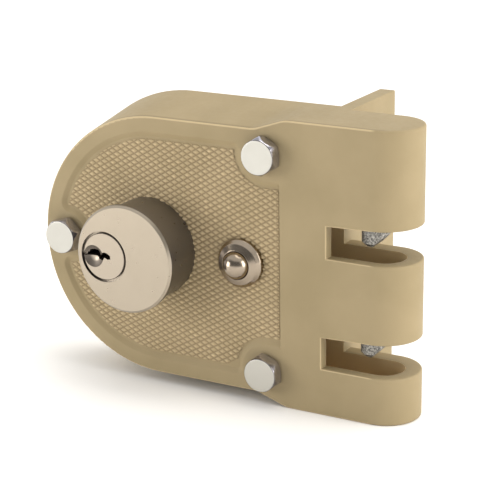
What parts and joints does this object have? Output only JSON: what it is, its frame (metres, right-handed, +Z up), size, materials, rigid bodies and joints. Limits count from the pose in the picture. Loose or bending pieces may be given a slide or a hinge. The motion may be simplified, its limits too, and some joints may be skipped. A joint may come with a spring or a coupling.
{
  "type": "sliding door lock",
  "caption": "Surface lock for a sliding door: vertical bolts in slotted fingers, inside key cylinder, push button, edge flange.",
  "frame": {"origin": "where the key plug's axis meets the plane of the case back, in the middle of the hub's tailpiece slot", "axes": "+X towards the fingers and the strike, -Y out of the room-side face, +Z up"},
  "size_m": [0.1215, 0.0634, 0.0842],
  "materials": {
    "case_paint": "satin champagne-beige enamel on a zinc casting",
    "zinc_sheet": "zinc-plated steel sheet",
    "zinc_hardware": "bright zinc-plated steel",
    "satin_nickel": "satin nickel plate on brass",
    "polished_nickel": "polished nickel",
    "brass": "machined brass",
    "spring_steel": "spring steel",
    "zinc_cast": "rough grey casting"
  },
  "bodies": {
    "root": {"case": "case_paint", "back_plate": "zinc_sheet", "back_plate_screws": "zinc_hardware", "mounting_bolts": "zinc_hardware", "cylinder_housing": "satin_nickel", "driver_pins": "brass", "driver_springs": "spring_steel", "clamp_plate": "zinc_sheet", "cylinder_screws": "zinc_hardware", "button_collar": "polished_nickel", "button_spring_seat": "zinc_sheet", "hub_bushing": "brass", "carriage_guide_posts": "zinc_hardware", "detent_spring": "spring_steel", "detent_screw": "zinc_hardware", "button_spring": "spring_steel"},
    "plug": {"key_plug": "satin_nickel", "bottom_pins": "brass", "plug_retainer": "brass", "retainer_screws": "zinc_hardware", "tailpiece": "brass", "drive_hub": "zinc_cast", "crank_pin": "zinc_hardware"},
    "bolts": {"bolt_carriage": "zinc_cast", "upper_bolt": "zinc_cast", "lower_bolt": "zinc_cast", "bolt_roll_pins": "spring_steel"},
    "button": {"stop_button": "polished_nickel", "button_clip": "spring_steel"}
  },
  "joints": [
    {"name": "plug_turn", "type": "hinge", "parent": "root", "child": "plug", "pos_m": [0, -0.0127, 0], "axis": [0, -1, 0], "range_deg": [-45, 45]},
    {"name": "bolt_slide", "type": "slide", "parent": "root", "child": "bolts", "axis": [0, 0, 1], "range_m": [-0.0072, 0.0072], "deforming": ["detent_spring"]},
    {"name": "stop_button_press", "type": "slide", "parent": "root", "child": "button", "axis": [0, 1, 0], "range_m": [0, 0.003], "stiffness_N_per_m": 400, "springref_m": -0.001, "deforming": ["button_spring"]}
  ],
  "couplings": [
    {"joint": "plug_turn", "follows": "bolt_slide", "rad_per_m": 109.08}
  ]
}
